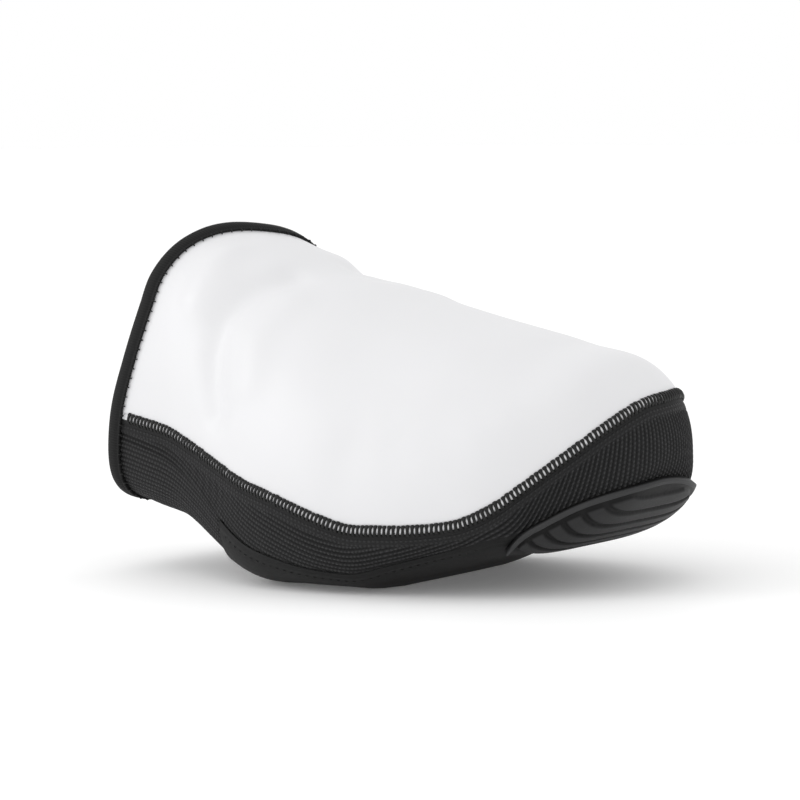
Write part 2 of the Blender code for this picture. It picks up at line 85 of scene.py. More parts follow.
# Collar edge, as a share of LENGTH behind the toe tip, by its angle above the spine on the
# lateral side, counted on over the ridge at 90 and down the medial side to 270
COLLAR_ROWS = (
    (-90, 1.000),
    (-30, 0.985),
    (0, 0.952),
    (30, 0.925),
    (45, 0.915),
    (60, 0.888),
    (70, 0.860),
    (80, 0.831),
    (90, 0.806),
    (100, 0.790),
    (112, 0.784),
    (124, 0.797),
    (138, 0.842),
    (155, 0.900),
    (180, 0.948),
    (210, 0.985),
    (270, 1.000),
)

# Edges of the panels: angle above the spine at places round the foot.
# -2 is the lateral collar, -1 to 1 the turn round the toe, 2 the medial collar.
SEAM_ROWS = (
    (-2.00, -25.0),
    (-1.80, -22.5),
    (-1.60, -16.0),
    (-1.40, -17.5),
    (-1.20, -21.0),
    (-1.00, -21.5),
    (-0.85, -17.5),
    (-0.70, -9.5),
    (-0.50, 2.5),
    (-0.30, 13.5),
    (-0.10, 20.5),
    (0.10, 22.0),
    (0.30, 21.5),
    (0.60, 15.0),
    (1.00, 2.0),
    (1.30, -8.0),
    (1.60, -14.0),
    (2.00, -25.0),
)
SOLE_EDGE_ROWS = (
    (-2.00, -37.0),
    (-1.60, -36.0),
    (-1.20, -35.5),
    (-1.05, -33.5),
    (-0.90, -31.5),
    (-0.75, -30.5),
    (-0.60, -25.0),
    (-0.30, -16.5),
    (0.00, -13.0),
    (0.30, -16.5),
    (0.60, -25.0),
    (0.75, -30.5),
    (0.90, -31.5),
    (1.05, -33.5),
    (1.20, -35.5),
    (1.60, -36.0),
    (2.00, -37.0),
)
PATCH_ROWS = (
    (-0.84, -38.0, -44.0),
    (-0.76, -31.0, -54.0),
    (-0.60, -24.0, -64.0),
    (-0.30, -15.0, -69.0),
    (0.00, -11.5, -70.0),
    (0.30, -15.0, -69.0),
    (0.60, -24.0, -64.0),
    (0.76, -31.0, -54.0),
    (0.84, -38.0, -44.0),
)

# Walls and trims
UPPER_WALL = 0.0020
BAND_WALL = 0.0014
SOLE_WALL = 0.0018
SOLE_PROUD = 0.0009
CLEARANCE = 0.0003
BINDING_WIDTH = 0.0053
BINDING_TAPE = 0.0009
EDGE_TRIM = 0.0011
SEAM_WIDTH = 0.0034
SEAM_PROUD = 0.0007
SOLE_PANEL_REAR = 0.128
SOLE_FLUSH_TURN = 0.90
SOLE_RISE_TURN = 0.25
CLEAT_OPENING_MIDDLE = 0.084
CLEAT_OPENING_LENGTH = 0.052
CLEAT_OPENING_WIDTH = 0.046
CLEAT_OPENING_CORNER = 0.016

# Knit band: its ribs run along the foot and turn upright round the toe.
# Angle of the ribs to the band's lower edge at places round the foot, in degrees.
RIB_PITCH = 0.00140
RIB_HEIGHT = 0.00036
KNIT_STITCH = 0.00125
RIB_PIVOT = 0.010
RIB_TURN_ROWS = (
    (-2.00, 0.0),
    (-1.15, 0.0),
    (-0.98, 12.0),
    (-0.80, 34.0),
    (-0.65, 54.0),
    (-0.50, 66.0),
    (-0.25, 80.0),
    (0.00, 89.0),
    (0.25, 99.0),
    (0.50, 113.0),
    (0.65, 125.0),
    (0.80, 145.0),
    (0.98, 168.0),
    (1.15, 180.0),
    (2.00, 180.0),
)
PLAIN_STRIP = 0.0016
LADDER_STRIP = 0.0026

# Overlock stitches over the seam
STITCH_PITCH = 0.00143
STITCH_LENGTH = 0.0035
STITCH_WIDTH = 0.00148
STITCH_THICK = 0.00062
STITCH_SLANT = 8.0
STITCH_OUTLINE = (
    (0.00, 0.10),
    (0.04, 0.72),
    (0.15, 0.90),
    (0.31, 0.68),
    (0.50, 0.61),
    (0.69, 0.67),
    (0.85, 0.98),
    (0.96, 0.84),
    (1.00, 0.10),
)
WHITE_SHARE = 0.80
TAPE_STITCH_PITCH = 0.0030
HEM_DEPTH = 0.0030
HEM_STITCH_PITCH = 0.0026
HEM_STITCHES_FROM = 0.95

# Toe patch of moulded rubber
PATCH_BASE = 0.0010
PATCH_RIM_WIDTH = 0.0017
PATCH_RIM_PROUD = 0.0009
PATCH_LUGS = 6
PATCH_FIRST_LUG = 0.0052
PATCH_LUG_PITCH = 0.0042
PATCH_GROOVE = 0.0009
PATCH_LUG_PROUD = 0.0008
PATCH_LUG_GAP = 0.0010

# Camera: the photograph's angle, and what it takes to frame the one cover in 800 by 800 pixels
CAMERA_AZIMUTH = 37.7
CAMERA_ELEVATION = 5.9
CAMERA_ROLL = 1.8
CAMERA_DISTANCE = 1.2
PIXELS_PER_METRE = 3388.0
FRAME_PIXELS = 800
SENSOR_WIDTH = 0.036
AIM = Vector((0.0, 0.0023, 0.042))
AIM_PIXEL = (411.5, 430.5)


def smooth_curve(xs, ys, at):
    """A curve through the rows (xs, ys) with no corners, read at the places in at."""
    xs = np.asarray(xs, float)
    ys = np.asarray(ys, float)
    at = np.asarray(at, float)
    steps = np.diff(xs)
    slopes = np.diff(ys) / steps
    tangents = np.empty(len(xs))
    tangents[0] = slopes[0]
    tangents[-1] = slopes[-1]
    tangents[1:-1] = (slopes[:-1] * steps[1:] + slopes[1:] * steps[:-1]) / (xs[2:] - xs[:-2])
    row = np.clip(np.searchsorted(xs, at, side="right") - 1, 0, len(xs) - 2)
    step = steps[row]
    u = np.clip((at - xs[row]) / step, 0.0, 1.0)
    low = (2 * u**3 - 3 * u**2 + 1) * ys[row] + (u**3 - 2 * u**2 + u) * step * tangents[row]
    high = (3 * u**2 - 2 * u**3) * ys[row + 1] + (u**3 - u**2) * step * tangents[row + 1]
    return low + high


def ease(share):
    """0 below 0, 1 above 1, and smooth between."""
    share = np.clip(share, 0.0, 1.0)
    return share * share * (3 - 2 * share)


def toe_closing(behind, rounding, corner):
    left = np.clip(1 - np.asarray(behind, float) / rounding, 0.0, 1.0)
    return np.maximum((1 - left**corner) ** (1 / corner), 1e-4)


def section(behind):
    """Widths and heights of the last at each distance behind the toe tip."""
    share = np.asarray(behind, float) / LENGTH
    table = dict(zip(SECTION_COLUMNS, zip(*SECTIONS)))
    read = {name: smooth_curve(table["along"], column, share) for name, column in table.items()}
    plan = toe_closing(behind, TOE_ROUNDING, TOE_PLAN_CORNER)
    side = toe_closing(behind, TOE_ROUNDING * TOE_SIDE_ROUNDING_SHARE, TOE_SIDE_CORNER)

    def across(name):
        return TOE_TIP_SWING + (read[name] * BALL_WIDTH - TOE_TIP_SWING) * plan

    def upward(height):
        return SOLE_REST + TOE_TIP_HEIGHT + (height - TOE_TIP_HEIGHT) * side

    return {
        "lateral": across("lateral"),
        "medial": across("medial"),
        "ridge": across("ridge"),
        "top": upward(read["top"] * COLLAR_HEIGHT),
        "widest": upward(read["widest"] * COLLAR_HEIGHT),
        "bottom": upward(read["spring"] * TOE_SPRING + read["arch"] * ARCH_RISE),
    }


def outside_measure(points):
    """Below 1 inside the last, 1 on its skin, above 1 outside."""
    behind = -points[..., 0]
    size = section(np.maximum(behind, 0.0))
    middle = (size["lateral"] + size["medial"]) / 2
    y = points[..., 1]
    z = points[..., 2]
    low = z < size["widest"]
    centre = np.where(low, middle, size["ridge"])
    across = np.where(y < centre, size["lateral"] - centre, size["medial"] - centre)
    upward = np.where(low, size["bottom"] - size["widest"], size["top"] - size["widest"])
    corner = np.where(low, SOLE_CORNER, INSTEP_CORNER)
    wide = np.abs((y - centre) / across)
    high = np.abs((z - size["widest"]) / upward)
    measure = (wide**corner + high**corner) ** (1 / corner)
    return np.where(behind < 0, 2.0 + np.maximum(-behind, 0.0), measure)


def normal_at(points, step=2e-5):
    """Unit normals of the last's skin, pointing out."""
    slopes = []
    for axis in range(3):
        shift = np.zeros(3)
        shift[axis] = step
        slopes.append(outside_measure(points + shift) - outside_measure(points - shift))
    normals = np.stack(slopes, axis=-1)
    return normals / np.linalg.norm(normals, axis=-1, keepdims=True)


def collar_behind(angle, place):
    over = np.where(place > 0, 180.0 - angle, angle)
    return LENGTH * smooth_curve(*zip(*COLLAR_ROWS), over)


def skin(places, angles, proud=0.0, trim=EDGE_TRIM):
    """Points on the last's skin, stood proud of it, at places round the foot and angles."""
    place, angle, proud = np.broadcast_arrays(
        np.asarray(places, float), np.asarray(angles, float), np.asarray(proud, float)
    )
    forward = np.clip(2 - np.abs(place), 0.0, 1.0)
    collar = collar_behind(angle, place) - trim
    behind = collar + (SPINE_END - collar) * forward
    turn = np.clip(place, -1.0, 1.0) * math.pi / 2
    size = section(behind)
    start = np.stack(
        (
            -behind,
            (size["lateral"] + size["medial"]) / 2,
            size["bottom"] + SPINE_HEIGHT_SHARE * (size["top"] - size["bottom"]),
        ),
        axis=-1,
    )
    lean = np.radians(angle)
    ray = np.stack(
        (np.cos(lean) * np.cos(turn), np.cos(lean) * np.sin(turn), np.sin(lean)), axis=-1
    )
    near = np.zeros(behind.shape)
    far = np.full(behind.shape, BALL_WIDTH)
    for _ in range(24):
        middle = (near + far) / 2
        inside = outside_measure(start + ray * middle[..., None]) < 1
        near = np.where(inside, middle, near)
        far = np.where(inside, far, middle)
    points = start + ray * ((near + far) / 2)[..., None]
    return points + normal_at(points) * proud[..., None]


def angle_beside(place, angle, distance):
    """The angle that lies a distance up along the skin from another one."""
    probe = 0.5
    below = skin(place, angle - probe)
    above = skin(place, angle + probe)
    return angle + distance * 2 * probe / np.linalg.norm(above - below, axis=-1)


def edge_angle(rows, place, distance=0.0):
    return angle_beside(place, smooth_curve(*zip(*rows), place), distance)


def place_of(behind):
    """Place round the foot, on the medial side, of a distance behind the toe tip."""
    collar = LENGTH * COLLAR_ROWS[0][1] - EDGE_TRIM
    return 2 - (collar - behind) / (collar - SPINE_END)


def rows_between(low, high, count):
    """Angles in rows from one edge to another, one column for each place."""
    return low + (high - low) * np.linspace(0.0, 1.0, count)[:, None]


def steps_along(points, axis):
    """Distance run along one axis of a grid of points, from its first line."""
    gaps = np.linalg.norm(np.diff(points, axis=axis), axis=-1)
    run = np.cumsum(gaps, axis=axis)
    start = np.zeros_like(np.take(run, [0], axis=axis))
    return np.concatenate((start, run), axis=axis)


def only(piece):
    """Selects one piece and makes it the active one."""
    bpy.ops.object.select_all(action="DESELECT")
    piece.select_set(True)
    bpy.context.view_layer.objects.active = piece
    return piece


def edit_all(piece, *steps):
    """Runs edit-mode operators on the whole of a piece."""
    only(piece)
    bpy.ops.object.mode_set(mode="EDIT")
    bpy.ops.mesh.select_all(action="SELECT")
    for step in steps:
        step()
    bpy.ops.object.mode_set(mode="OBJECT")


def sheet(name, points, maps):
    """A grid laid over rows and columns of points, facing out, with UV maps in real sizes."""
    rows, columns = points.shape[:2]
    bpy.ops.object.select_all(action="DESELECT")
    bpy.ops.mesh.primitive_grid_add(x_subdivisions=columns - 1, y_subdivisions=rows - 1, size=1)
    piece = bpy.context.object
    piece.name = name
    mesh = piece.data
    flat = np.empty(len(mesh.vertices) * 3)
    mesh.vertices.foreach_get("co", flat)
    flat = flat.reshape(-1, 3)
    column = np.round((flat[:, 0] + 0.5) * (columns - 1)).astype(int)
    row = np.round((flat[:, 1] + 0.5) * (rows - 1)).astype(int)
    placed = points[row, column] + np.array(LAST_SHIFT)
    mesh.vertices.foreach_set("co", placed.ravel())
    corners = np.empty(len(mesh.loops), int)
    mesh.loops.foreach_get("vertex_index", corners)
    mesh.uv_layers.remove(mesh.uv_layers[0])
    for map_name, (across, up) in maps.items():
        layer = mesh.uv_layers.new(name=map_name)
        spread = np.stack((across[row, column], up[row, column]), axis=-1)
        layer.uv.foreach_set("vector", spread[corners].ravel())
    mesh.update()
    beside = np.cross(
        points[rows // 2, columns // 2 + 1] - points[rows // 2, columns // 2],
        points[rows // 2 + 1, columns // 2] - points[rows // 2, columns // 2],
    )
    outward = normal_at(points[rows // 2, columns // 2][None])[0]
    if np.dot(beside, outward) < 0:
        edit_all(piece, bpy.ops.mesh.flip_normals)
    return piece


def weld(piece, distance=2e-6):
    edit_all(piece, lambda: bpy.ops.mesh.remove_doubles(threshold=distance))
    return piece


def apply_modifier(piece, name, kind, **settings):
    only(piece)
    modifier = piece.modifiers.new(name, kind)
    for key, value in settings.items():
        setattr(modifier, key, value)
    bpy.ops.object.modifier_apply(modifier=modifier.name)
    return piece


def give_wall(piece, thickness, inside=0):
    """Grows a sheet inwards to its real thickness."""
    return apply_modifier(
        piece,
        "wall",
        "SOLIDIFY",
        thickness=thickness,
        offset=-1.0,
        use_rim=True,
        material_offset=inside,
        material_offset_rim=inside,
    )


def joined(name, pieces):
    """Several meshes made one piece."""
    bpy.ops.object.select_all(action="DESELECT")
    for piece in pieces:
        piece.select_set(True)
    bpy.context.view_layer.objects.active = pieces[0]
    bpy.ops.object.join()
    pieces[0].name = name
    return pieces[0]


def finished(piece, materials, node=None, smooth=180.0):
    """Gives a piece its materials, and its place and meaning in the part."""
    for index, material in enumerate(materials):
        if index < len(piece.data.materials):
            piece.data.materials[index] = material
        else:
            piece.data.materials.append(material)
    only(piece)
    if smooth < 180.0:
        bpy.ops.object.shade_smooth_by_angle(angle=math.radians(smooth))
    else:
        bpy.ops.object.shade_smooth()
    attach(piece, "root")
    if node:
        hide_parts(node)
    return piece


class Value:
    """A shader socket that Python's own signs work on: an expression adds its Math nodes."""

    def __init__(self, finish, socket):
        self.finish = finish
        self.socket = socket

    def math(self, operation, *others):
        return self.finish.math(operation, self, *others)

    def __add__(self, other):
        return self.math("ADD", other)

    def __sub__(self, other):
        return self.math("SUBTRACT", other)

    def __rsub__(self, other):
        return self.finish.math("SUBTRACT", other, self)

    def __mul__(self, other):
        return self.math("MULTIPLY", other)

    def __truediv__(self, other):
        return self.math("DIVIDE", other)

    def __rtruediv__(self, other):
        return self.finish.math("DIVIDE", other, self)

    def __pow__(self, other):
        return self.math("POWER", other)

    def __neg__(self):
        return self.math("MULTIPLY", -1.0)

    def __gt__(self, other):
        return self.math("GREATER_THAN", other)

    def __lt__(self, other):
        return self.math("LESS_THAN", other)

    def __abs__(self):
        return self.math("ABSOLUTE")

    __radd__ = __add__
    __rmul__ = __mul__


class Finish:
    """One material, built on the Principled shader."""

    def __init__(self, name, colour, roughness, **constants):
        self.material = bpy.data.materials.new(name)
        self.material.use_nodes = True
        self.tree = self.material.node_tree
        self.shader = self.tree.nodes["Principled BSDF"]
        self.shader.inputs["Base Color"].default_value = (*colour, 1.0)
        self.shader.inputs["Roughness"].default_value = roughness
        for socket, value in constants.items():
            self.shader.inputs[socket.replace("_", " ")].default_value = value

    def node(self, kind, settings, values, output=0):
        """Any node: its type, its settings, then the values or links of its sockets."""
        made = self.tree.nodes.new(kind)
        for key, value in settings.items():
            if key == "stops":
                for index, (place, shade) in enumerate(value):
                    ramp = made.color_ramp.elements
                    stop = ramp[index] if index < len(ramp) else ramp.new(place)
                    stop.position = place
                    stop.color = shade
            else:
                setattr(made, key, value)
        for key, value in values.items():
            self.link(value, made.inputs[key])
        return Value(self, made.outputs[output])

    def link(self, value, socket):
        if isinstance(value, Value):
            self.tree.links.new(value.socket, socket)
        else:
            socket.default_value = value

    def math(self, operation, *values):
        return self.node("ShaderNodeMath", {"operation": operation}, dict(enumerate(values)))

    def smooth(self, value, low, high):
        """0 below low, 1 above high, smooth between."""
        return self.node(
            "ShaderNodeMapRange",
            {"interpolation_type": "SMOOTHSTEP"},
            {"Value": value, "From Min": low, "From Max": high},
        )

    def mix(self, share, first, second):
        return self.node(
            "ShaderNodeMix", {"data_type": "RGBA"}, {0: share, 6: first, 7: second}, output=2
        )

    def position(self):
        return self.node("ShaderNodeTexCoord", {}, {}, output="Object")

    def surface_map(self, name):
        """The two values of a UV map, across and up."""
        spread = self.node("ShaderNodeUVMap", {"uv_map": name}, {})
        across = self.node("ShaderNodeSeparateXYZ", {}, {0: spread}, output=0)
        up = Value(self, across.socket.node.outputs[1])
        return across, up

    def noise(self, scale, detail=2.0, roughness=0.5, at=None):
        return self.node(
            "ShaderNodeTexNoise",
            {},
            {
                "Vector": at or self.position(),
                "Scale": scale,
                "Detail": detail,
                "Roughness": roughness,
            },
        )

    def set(self, **values):
        for socket, value in values.items():
            self.link(value, self.shader.inputs[socket.replace("_", " ")])

    def bump(self, height, distance, strength=1.0):
        """Relief from a height of 0 to 1, as deep as distance."""
        normal = self.node(
            "ShaderNodeBump", {}, {"Height": height, "Distance": distance, "Strength": strength}
        )
        self.set(Normal=normal)


def grey(level, tint=0.0):
    """A near-neutral colour, with a little more blue."""
    return (level, level, level + tint, 1.0)


def softshell_finish():
    """White coated softshell with a fine matt grain and a satin sheen."""
    made = Finish("white_softshell", (0.74, 0.74, 0.75), 0.44, Specular_IOR_Level=0.42)
    made.set(Coat_Weight=0.10)
    made.shader.inputs["Coat Roughness"].default_value = 0.30
    made.shader.inputs["Sheen Weight"].default_value = 0.08
    clouds = made.noise(34.0, detail=2.0)
    grain = made.noise(2600.0, detail=1.0)
    weave = made.noise(900.0, detail=2.0, roughness=0.6)
    made.set(Base_Color=made.mix(clouds, grey(0.72, 0.011), grey(0.75, 0.014)))
    made.set(Roughness=0.40 + clouds * 0.06 + grain * 0.05)
    made.bump(grain * 0.6 + weave * 0.4, 0.00006, 0.35)
    return made.material


def lining_finish():
    """Pale grey brushed lining, in loops of a fine fleece."""
    made = Finish("fleece_lining", (0.52, 0.52, 0.54), 0.92, Specular_IOR_Level=0.2)
    made.shader.inputs["Sheen Weight"].default_value = 0.3
    loops = made.node(
        "ShaderNodeTexVoronoi",
        {"feature": "F1"},
        {"Vector": made.position(), "Scale": 620.0, "Randomness": 0.8},
    )
    tufts = made.noise(240.0, detail=3.0)
    made.set(Base_Color=made.mix(tufts, grey(0.46, 0.01), grey(0.58, 0.012)))
    made.bump((1 - loops) * 0.6 + tufts * 0.5, 0.0004, 0.6)
    return made.material


def knit_finish():
    """Black ribbed knit: beads of stitches along each rib, with painted shade darkening the valleys
    and painted light on the rib crests, stitch beads and ladder rungs.
    """
    made = Finish("ribbed_knit", (0.02, 0.02, 0.021), 0.62, Specular_IOR_Level=0.20)
    rib, stitch = made.surface_map("ribs")
    gap, down = made.surface_map("edge")
    turn = 2 * math.pi
    crest = (rib * turn).math("COSINE") * 0.5 + 0.5
    number = (rib + 0.5).math("FLOOR")
    bead = ((stitch + number * 0.5) * turn).math("COSINE") * 0.5 + 0.5
    fibre = made.noise(2100.0, detail=3.0, roughness=0.7)
    ribbed = made.smooth(down, PLAIN_STRIP + LADDER_STRIP * 0.85, PLAIN_STRIP + LADDER_STRIP)
    in_ladder = made.smooth(down, PLAIN_STRIP * 0.9, PLAIN_STRIP * 1.1) * (1 - ribbed)
    rung_row = ((down - PLAIN_STRIP) * (2.0 / LADDER_STRIP)).math("FRACT")
    rung_body = made.smooth(rung_row, 0.12, 0.35) * (1 - made.smooth(rung_row, 0.65, 0.88))
    rung = ((gap * (turn / STITCH_PITCH)).math("COSINE") * 0.5 + 0.5) * rung_body
    knit = crest * (0.30 + bead * 0.70)
    relief = ribbed * knit + in_ladder * rung * 0.7 + fibre * 0.35
    plain = (1 - ribbed) * 0.15
    # Colour: painted light on rib crests, stitch beads and ladder rungs, painted shade in the valleys
    # between them, plus random fibre tone
    lit = ribbed * knit * 0.9 + in_ladder * rung * 0.4 + fibre * 0.3 + plain
    made.set(Base_Color=made.mix(lit, grey(0.001), grey(0.042, 0.001)))
    made.set(Roughness=0.72 - lit * 0.12)
    made.bump(relief, 0.0005, 0.9)
    return made.material


def smooth_fabric_finish():
    """Dense black fabric of the sole panel, nearly smooth."""
    made = Finish("smooth_sole_fabric", (0.02, 0.02, 0.021), 0.55, Specular_IOR_Level=0.22)
    grain = made.noise(1500.0, detail=2.0)
    clouds = made.noise(60.0, detail=3.0)
    made.set(Base_Color=made.mix(clouds, grey(0.006), grey(0.011)))
    made.set(Roughness=0.54 + grain * 0.12 + clouds * 0.06)
    made.bump(grain * 0.7 + clouds * 0.4, 0.00012, 0.6)
    return made.material


def rubber_finish():
    """Moulded dark grey rubber, matt, with painted light making what stands proud paler and painted
    shade darkening the grooves.
    """
    made = Finish("toe_rubber", (0.055, 0.055, 0.058), 0.52, Specular_IOR_Level=0.18)
    raised, along = made.surface_map("relief")
    grain = made.noise(1300.0, detail=2.0)
    clouds = made.noise(150.0, detail=3.0)
    # Painted light and shade: paler on the rim and lugs, darker in the grooves between them
    lit = made.smooth(raised, 0.25, 0.95)
    made.set(
        Base_Color=made.mix(lit * 0.85 + clouds * 0.15, grey(0.002), grey(0.042, 0.001))
    )
    made.set(Roughness=0.46 + grain * 0.14)
    made.bump(grain * 0.5 + clouds * 0.5, 0.00012, 0.5)
    return made.material


def tape_finish():
    """Black stretch binding tape with a fine cross rib, with painted shade in the grooves between the
    ribs.
    """
    made = Finish("binding_tape", (0.018, 0.018, 0.019), 0.66, Specular_IOR_Level=0.20)
    across, along = made.surface_map("tape")
    rib = (along * (2 * math.pi / 0.0008)).math("COSINE") * 0.5 + 0.5
    fibre = made.noise(1700.0, detail=3.0, roughness=0.65)
    # Painted shade between the cross ribs, mixed with random fibre tone
    lit = rib * 0.4 + fibre * 0.6
    made.set(Base_Color=made.mix(lit, grey(0.004), grey(0.016)))
    made.set(Roughness=0.60 + fibre * 0.14)
    made.bump(lit, 0.0002, 0.7)
    return made.material


def thread_finish():
    """Black overlock thread, twisted."""
    made = Finish("overlock_thread", (0.02, 0.02, 0.021), 0.5, Specular_IOR_Level=0.25)
    fibre = made.noise(2800.0, detail=2.0)
    made.set(Base_Color=made.mix(fibre, grey(0.004), grey(0.016)))
    made.set(Roughness=0.46 + fibre * 0.2)
    made.bump(fibre, 0.0001, 0.6)
    return made.material


def floor_finish():
    made = Finish("pale_floor", (0.93, 0.93, 0.93), 0.6, Specular_IOR_Level=0.2)
    clouds = made.noise(3.0, detail=2.0)
    made.set(Base_Color=made.mix(clouds, grey(0.925), grey(0.935)))
    made.shader.inputs["Emission Color"].default_value = (1.0, 1.0, 1.0, 1.0)
    made.shader.inputs["Emission Strength"].default_value = 0.10
    return made.material


# Soft forms of the upper, pressed through from the shoe below it.
# Each is a line of (place, angle) points, with the width and the height of its swell.
SOFT_FORMS = (
    ("instep hump", 0.0070, 0.0021, ((-1.89, 66.0), (-1.85, 55.0), (-1.84, 43.0))),
    (
        "crescent trough",
        0.0052,
        -0.0021,
        (
            (-1.725, 75.0),
            (-1.730, 58.0),
            (-1.745, 39.0),
            (-1.735, 23.0),
            (-1.710, 11.0),
            (-1.680, 1.0),
        ),
    ),
    ("strap edge", 0.0065, 0.0013, ((-1.62, 60.0), (-1.62, 40.0), (-1.60, 22.0))),
    ("side hollow", 0.0140, -0.0016, ((-1.32, 36.0), (-1.22, 33.0))),
    ("low hollow", 0.0100, -0.0012, ((-1.24, 4.0), (-1.16, 2.0))),
    ("ball swell", 0.0090, 0.0010, ((-0.92, 8.0), (-0.84, 11.0))),
    ("toe swell", 0.0090, 0.0008, ((-0.52, 27.0), (-0.44, 28.0))),
    ("ridge step", 0.0050, -0.0011, ((1.76, 74.0), (1.70, 78.0), (1.64, 76.0))),
    ("medial hump", 0.0060, 0.0016, ((1.87, 62.0), (1.84, 46.0), (1.84, 30.0))),
    ("medial trough", 0.0060, -0.0016, ((1.72, 62.0), (1.71, 42.0), (1.69, 22.0))),
    ("medial ridge", 0.0070, 0.0010, ((1.50, 58.0), (1.48, 40.0))),
    ("medial hollow", 0.0120, -0.0011, ((1.25, 34.0), (1.18, 30.0))),
)


def distance_to_line(points, line):
    """Nearest distance from each point to a line of points."""
    best = np.full(points.shape[:-1], 1.0)
    for first, second in zip(line[:-1], line[1:]):
        run = second - first
        share = np.clip(((points - first) @ run) / np.dot(run, run), 0.0, 1.0)
        near = first + share[..., None] * run
        best = np.minimum(best, np.linalg.norm(points - near, axis=-1))
    return best


def soft_relief(points):
    """How far the upper's skin swells at each point."""
    swell = np.zeros(points.shape[:-1])
    for _, width, height, rows in SOFT_FORMS:
        places, angles = (np.array(column) for column in zip(*rows))
        line = skin(places, angles)
        swell += height * np.exp(-((distance_to_line(points, line) / width) ** 2))
    return swell


def make_upper_shell(materials):
    """The white cap, with the forms of the shoe pressed softly through it."""
    places = np.linspace(-2.0, 2.0, 321)
    low = edge_angle(SEAM_ROWS, places, -0.0009)
    angles = 90.0 - (90.0 - low) * np.linspace(1.0, 0.0, 81)[:, None]
    points = skin(places, angles)
    from_seam = steps_along(points, 0)
    from_collar = (2 - np.abs(places)) * 0.09
    hold = ease(from_seam / 0.010) * ease((from_collar - 0.004) / 0.008)
    points = skin(places, angles, soft_relief(points) * hold)
    around = np.broadcast_to(steps_along(points, 1)[0], from_seam.shape)
    piece = sheet("upper_shell", points, {"cloth": (around, from_seam)})
    weld(piece)
    for material in materials:
        piece.data.materials.append(material)
    give_wall(piece, UPPER_WALL, inside=1)
    return finished(piece, materials, "upper")


def band_columns():
    """Places of the knit band's columns, close together where its ribs stand upright."""
    rear = place_of(SOLE_PANEL_REAR)
    strap = np.linspace(rear, 2.0, 16)
    side = np.linspace(1.15, rear, 26)[:-1]
    turn = np.linspace(-1.15, 1.15, 421)[1:-1]
    half = np.concatenate((side, strap))
    return np.concatenate((-half[::-1], turn, half)), strap


def rib_maps(places, points, angles):
    """Coordinates across and along the ribs of the band, in ribs and in stitches."""
    along = steps_along(points, 1)[0]
    up = steps_along(points, 0)
    lean = np.radians(smooth_curve(*zip(*RIB_TURN_ROWS), places))
    step = np.gradient(along)
    across = np.cumsum(-np.sin(lean) * step) + (up - RIB_PIVOT) * np.cos(lean)
    run = np.cumsum(np.cos(lean) * step) + (up - RIB_PIVOT) * np.sin(lean)
    return across / RIB_PITCH, run / KNIT_STITCH


def make_band(materials):
    """The ribbed knit band, with its strap under the arch."""
    places, strap = band_columns()
    low = edge_angle(SOLE_EDGE_ROWS, places, CLEARANCE)
    high = edge_angle(SEAM_ROWS, places, -SEAM_WIDTH * (WHITE_SHARE - 0.06))
    angles = rows_between(low, high, 66)
    points = skin(places, angles)
    ribs, stitches = rib_maps(places, points, angles)
    up = steps_along(points, 0)
    down = up[-1] - up
    along = np.broadcast_to(steps_along(points, 1)[-1], up.shape)
    ribbed = ease((down - PLAIN_STRIP - LADDER_STRIP) / 0.0006)
    ribbed = ribbed * ease(up / 0.0008)
    proud = RIB_HEIGHT * (0.5 * np.cos(2 * math.pi * ribs) - 0.5) * ribbed
    groove = np.exp(-(((down - PLAIN_STRIP - LADDER_STRIP) / 0.0003) ** 2))
    groove += 0.7 * np.exp(-(((down - PLAIN_STRIP) / 0.0003) ** 2))
    points = skin(places, angles, proud - 0.0002 * groove)
    sheets = [sheet("band_sheet", points, {"ribs": (ribs, stitches), "edge": (along, down)})]
    for side in (-1, 1):
        columns = np.sort(side * strap)
        edge = edge_angle(SOLE_EDGE_ROWS, columns, CLEARANCE)
        under = rows_between(-90.0, edge, 90)
        points = skin(columns, under)
        up = steps_along(points, 0)
        below = up - up[-1]
        ribs = (below - RIB_PIVOT) / RIB_PITCH
        if side > 0:
            ribs = -ribs
        proud = RIB_HEIGHT * (0.5 * np.cos(2 * math.pi * ribs) - 0.5) * ease(-below / 0.0008)
        points = skin(columns, under, proud)
        along = np.broadcast_to(steps_along(points, 1)[-1], up.shape)
        maps = {
            "ribs": (ribs, along / KNIT_STITCH),
            "edge": (along, np.full(up.shape, PLAIN_STRIP + LADDER_STRIP * 2)),
        }
        sheets.append(sheet("strap_sheet", points, maps))
    band = joined("ribbed_band", sheets)
    weld(band, 5e-6)
    give_wall(band, BAND_WALL)
    return finished(band, materials, "side_band")


def make_sole(materials):
    """The smooth panel under the ball, turned up the sides, with its opening for the cleat."""
    rear = place_of(SOLE_PANEL_REAR - CLEARANCE)
    places = np.linspace(-rear, rear, 221)
    high = edge_angle(SOLE_EDGE_ROWS, places)
    angles = rows_between(-90.0, high, 64)
    rise = SOLE_PROUD * np.clip((np.abs(places) - SOLE_FLUSH_TURN) / SOLE_RISE_TURN, 0.0, 1.0)
    plain = skin(places, angles, rise)
    up = steps_along(plain, 0)
    down = up[-1] - up
    hem = np.exp(-(((down - HEM_DEPTH) / 0.0005) ** 2))
    proud = rise - 0.00022 * hem - 0.0005 * ease(1 - down / 0.0005)
    points = skin(places, angles, proud)
    points[..., 2] = np.maximum(points[..., 2], 0.0)
    along = np.broadcast_to(steps_along(points, 1)[-1], up.shape)
    piece = sheet("sole_wrap", points, {"cloth": (along, down)})
    weld(piece)
    give_wall(piece, SOLE_WALL)
    cut_cleat_opening(piece)
    return finished(piece, materials, "sole_panel", smooth=40.0)


